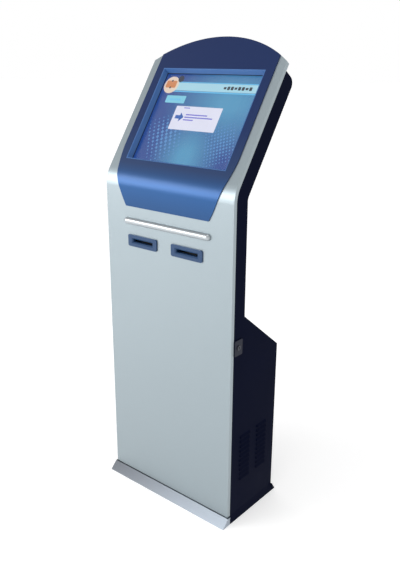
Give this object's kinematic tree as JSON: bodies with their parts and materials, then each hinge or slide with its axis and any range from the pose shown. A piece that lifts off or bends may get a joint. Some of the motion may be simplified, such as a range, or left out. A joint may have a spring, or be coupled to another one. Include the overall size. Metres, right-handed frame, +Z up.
{
  "type": "ticket vending machine",
  "caption": "Slim floor-standing ticket kiosk: silver hinged front with arched top, leaning touch screen, blue fascia, half-round bar, ticket outlets and a navy cabinet on a flared plinth.",
  "frame": {"origin": "on the floor under the middle of the plinth's footprint", "axes": "+Z up, -Y is the front with the screen and ticket outlets, +X is the side with the lock"},
  "size_m": [0.5275, 0.3197, 1.4996],
  "materials": {
    "silver_coat": "satin silver powder coat",
    "fascia_blue": "satin blue printed sheet",
    "surround_plastic": "moulded blue",
    "bar_metal": "anodised",
    "bezel_blue": "moulded",
    "navy_coat": "satin navy powder coat",
    "kick_steel": "horizontally brushed",
    "zinc_steel": "zinc plated sheet",
    "hardware": "zinc plated",
    "lock_chrome": "polished",
    "lock_plate": "satin",
    "screen_glass": "clear",
    "lcd": "lit display",
    "head_metal": "die cast",
    "motor_black": "black",
    "platen_rubber": "ground",
    "gear_white": "moulded",
    "pinion_brass": "machined",
    "ticket_paper": "thermal paper",
    "case_grey": "fine texture",
    "black_plastic": "moulded"
  },
  "bodies": {
    "cabinet": {"side_panel_left": "navy_coat", "side_panel_right": "navy_coat", "neck_back": "navy_coat", "shoulder": "navy_coat", "base_back": "navy_coat", "head_top": "navy_coat", "head_back_cover": "navy_coat", "cover_screws": "hardware", "base_tray": "zinc_steel", "cable_grommet": "black_plastic", "foot_bridges": "zinc_steel", "kick_plate": "kick_steel", "plinth_skirt": "navy_coat", "touch_glass": "screen_glass", "display_tray": "zinc_steel", "lcd_panel": "lcd", "display_brackets": "zinc_steel", "printer_rail": "zinc_steel", "printer_frame_left": "zinc_steel", "printer_frame_right": "zinc_steel", "print_head_left": "head_metal", "print_head_right": "head_metal", "feed_motor_left": "motor_black", "feed_motor_right": "motor_black", "roll_spindle_left": "hardware", "roll_spindle_right": "hardware", "equipment_shelf": "zinc_steel", "computer_case": "case_grey", "power_supply": "case_grey", "power_inlet": "black_plastic", "fan_frame": "black_plastic", "lock_housing": "lock_plate", "lock_nut": "hardware", "hinge_leaves_cabinet": "hardware", "hinge_pins": "hardware"},
    "door": {"front_door": "silver_coat", "fascia": "fascia_blue", "screen_surround": "surround_plastic", "front_bar": "bar_metal", "ticket_bezel_left": "bezel_blue", "ticket_bezel_right": "bezel_blue", "door_keeper": "zinc_steel", "hinge_leaves_door": "hardware"},
    "lock": {"lock_plug": "lock_chrome", "lock_cam": "hardware"},
    "platen_left": {"platen_roller_left": "platen_rubber", "platen_gear_left": "gear_white"},
    "platen_right": {"platen_roller_right": "platen_rubber", "platen_gear_right": "gear_white"},
    "pinion_left": {"motor_pinion_left": "pinion_brass"},
    "pinion_right": {"motor_pinion_right": "pinion_brass"},
    "roll_left": {"paper_roll_left": "ticket_paper"},
    "roll_right": {"paper_roll_right": "ticket_paper"},
    "rocker": {"power_rocker": "black_plastic"},
    "button": {"power_button": "black_plastic"},
    "fan": {"fan_rotor": "black_plastic"},
    "foot_front_left": {"foot_front_left": "hardware"},
    "foot_rear_left": {"foot_rear_left": "hardware"},
    "foot_front_right": {"foot_front_right": "hardware"},
    "foot_rear_right": {"foot_rear_right": "hardware"}
  },
  "joints": [
    {"name": "door_swing", "type": "hinge", "parent": "cabinet", "child": "door", "pos_m": [-0.2615, -0.10575, 0.5], "axis": [0, 0, -1], "range_deg": [0, 105]},
    {"name": "lock_turn", "type": "hinge", "parent": "cabinet", "child": "lock", "pos_m": [0.256, -0.085, 0.618], "axis": [1, 0, 0], "range_deg": [0, 90]},
    {"name": "platen_left_spin", "type": "hinge", "parent": "cabinet", "child": "platen_left", "pos_m": [-0.099, -0.087, 0.8795], "axis": [1, 0, 0], "continuous": true},
    {"name": "pinion_left_spin", "type": "hinge", "parent": "cabinet", "child": "pinion_left", "pos_m": [-0.049, -0.087, 0.8585], "axis": [1, 0, 0], "continuous": true},
    {"name": "roll_left_spin", "type": "hinge", "parent": "cabinet", "child": "roll_left", "pos_m": [-0.099, -0.081, 0.822], "axis": [1, 0, 0], "continuous": true},
    {"name": "platen_right_spin", "type": "hinge", "parent": "cabinet", "child": "platen_right", "pos_m": [0.084, -0.087, 0.8795], "axis": [1, 0, 0], "continuous": true},
    {"name": "pinion_right_spin", "type": "hinge", "parent": "cabinet", "child": "pinion_right", "pos_m": [0.134, -0.087, 0.8585], "axis": [1, 0, 0], "continuous": true},
    {"name": "roll_right_spin", "type": "hinge", "parent": "cabinet", "child": "roll_right", "pos_m": [0.084, -0.081, 0.822], "axis": [1, 0, 0], "continuous": true},
    {"name": "rocker_tip", "type": "hinge", "parent": "cabinet", "child": "rocker", "pos_m": [-0.1655, 0.127, 0.092], "axis": [1, 0, 0], "range_deg": [0, 20]},
    {"name": "button_press", "type": "slide", "parent": "cabinet", "child": "button", "axis": [0, 1, 0], "range_m": [0, 0.002], "stiffness_N_per_m": 300, "springref_m": -0.0005},
    {"name": "fan_spin", "type": "hinge", "parent": "cabinet", "child": "fan", "pos_m": [0.11, 0.115, 0.4], "axis": [0, 1, 0], "continuous": true},
    {"name": "foot_front_left_screw", "type": "slide", "parent": "cabinet", "child": "foot_front_left", "axis": [0, 0, 1], "range_m": [-0.015, 0]},
    {"name": "foot_rear_left_screw", "type": "slide", "parent": "cabinet", "child": "foot_rear_left", "axis": [0, 0, 1], "range_m": [-0.015, 0]},
    {"name": "foot_front_right_screw", "type": "slide", "parent": "cabinet", "child": "foot_front_right", "axis": [0, 0, 1], "range_m": [-0.015, 0]},
    {"name": "foot_rear_right_screw", "type": "slide", "parent": "cabinet", "child": "foot_rear_right", "axis": [0, 0, 1], "range_m": [-0.015, 0]}
  ],
  "couplings": [
    {"joint": "pinion_left_spin", "follows": "platen_left_spin", "ratio": -2},
    {"joint": "pinion_right_spin", "follows": "platen_right_spin", "ratio": -2}
  ]
}
